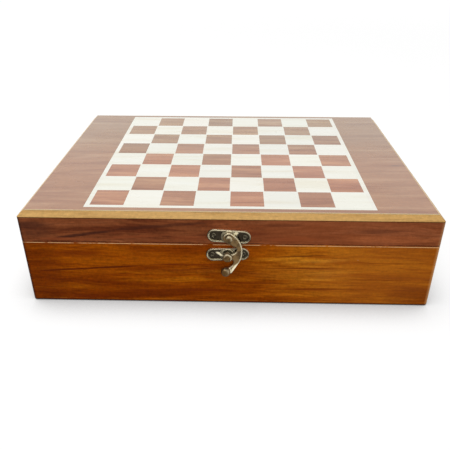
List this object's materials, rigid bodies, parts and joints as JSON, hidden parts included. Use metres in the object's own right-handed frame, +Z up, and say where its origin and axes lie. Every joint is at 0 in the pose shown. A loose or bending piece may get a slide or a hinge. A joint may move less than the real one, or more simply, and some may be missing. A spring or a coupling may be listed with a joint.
{
  "type": "games compendium box",
  "caption": "Hinged wooden games box with a chessboard lid, swing-hook latch and divided inside for chess, draughts, dominoes, cards and dice.",
  "frame": {"origin": "centre of the case's underside, where it stands on a table", "axes": "+X to the right as the latch faces the viewer, +Y from the latch towards the hinges, +Z up through the closed lid"},
  "size_m": [0.285, 0.2229, 0.0727],
  "materials": {
    "case_wood": "gloss lacquer over orange-brown stained timber, grain along each board",
    "lid_wood": "gloss lacquer over dark red-brown stained timber",
    "lid_core": "lacquered fibreboard, bevelled edge left tan",
    "surround_veneer": "gloss red-brown veneer",
    "light_veneer": "gloss pale veneer",
    "dark_veneer": "gloss red-brown veneer",
    "bottom_ply": "raw plywood",
    "divider_wood": "satin stained timber",
    "felt_lining": "green felt",
    "latch_bronze": "antique bronze with worn bright edges",
    "screw_bronze": "dark antique bronze",
    "hinge_brass": "plain brass, slightly dulled",
    "light_men": "satin pale timber",
    "dark_men": "satin dark-stained timber",
    "domino_body": "ivory-coloured resin with black pips",
    "card_stock": "coated card",
    "dice_body": "ivory-coloured resin with black pips"
  },
  "bodies": {
    "case": {"case_front_wall": "case_wood", "case_back_wall": "case_wood", "case_left_wall": "case_wood", "case_right_wall": "case_wood", "case_bottom_panel": "bottom_ply", "case_floor_felt": "felt_lining", "long_divider": "divider_wood", "chess_divider": "divider_wood", "card_divider": "divider_wood", "domino_divider": "divider_wood", "dark_draught_divider": "divider_wood", "light_draught_divider": "divider_wood", "catch_plate": "latch_bronze", "catch_post": "latch_bronze", "catch_plate_screws": "screw_bronze", "left_hinge_case_leaf": "hinge_brass", "right_hinge_case_leaf": "hinge_brass", "left_hinge_pin": "hinge_brass", "right_hinge_pin": "hinge_brass", "case_hinge_screws": "hinge_brass", "dark_pawns": "dark_men", "dark_rooks": "dark_men", "dark_knights": "dark_men", "dark_bishops": "dark_men", "dark_queen": "dark_men", "dark_king": "dark_men", "dark_draughts": "dark_men", "light_pawns": "light_men", "light_rooks": "light_men", "light_knights": "light_men", "light_bishops": "light_men", "light_queen": "light_men", "light_king": "light_men", "light_draughts": "light_men", "dominoes": "domino_body", "lower_card_pack": "card_stock", "upper_card_pack": "card_stock", "dice": "dice_body"},
    "lid": {"lid_front_rail": "lid_wood", "lid_back_rail": "lid_wood", "lid_left_rail": "lid_wood", "lid_right_rail": "lid_wood", "lid_top_panel": "lid_core", "lid_felt": "felt_lining", "board_surround": "surround_veneer", "board_light_field": "light_veneer", "board_dark_squares": "dark_veneer", "left_hinge_lid_leaf": "hinge_brass", "right_hinge_lid_leaf": "hinge_brass", "lid_hinge_screws": "hinge_brass", "latch_plate": "latch_bronze", "latch_plate_screws": "screw_bronze", "hook_rivet": "latch_bronze"},
    "hook": {"swing_hook": "latch_bronze"}
  },
  "joints": [
    {"name": "lid_hinge", "type": "hinge", "parent": "case", "child": "lid", "pos_m": [0, 0.106, 0.0498], "axis": [-1, 0, 0], "range_deg": [0, 105]},
    {"name": "hook_pivot", "type": "hinge", "parent": "lid", "child": "hook", "pos_m": [0, -0.11, 0.0565], "axis": [0, -1, 0], "range_deg": [0, 120]}
  ]
}
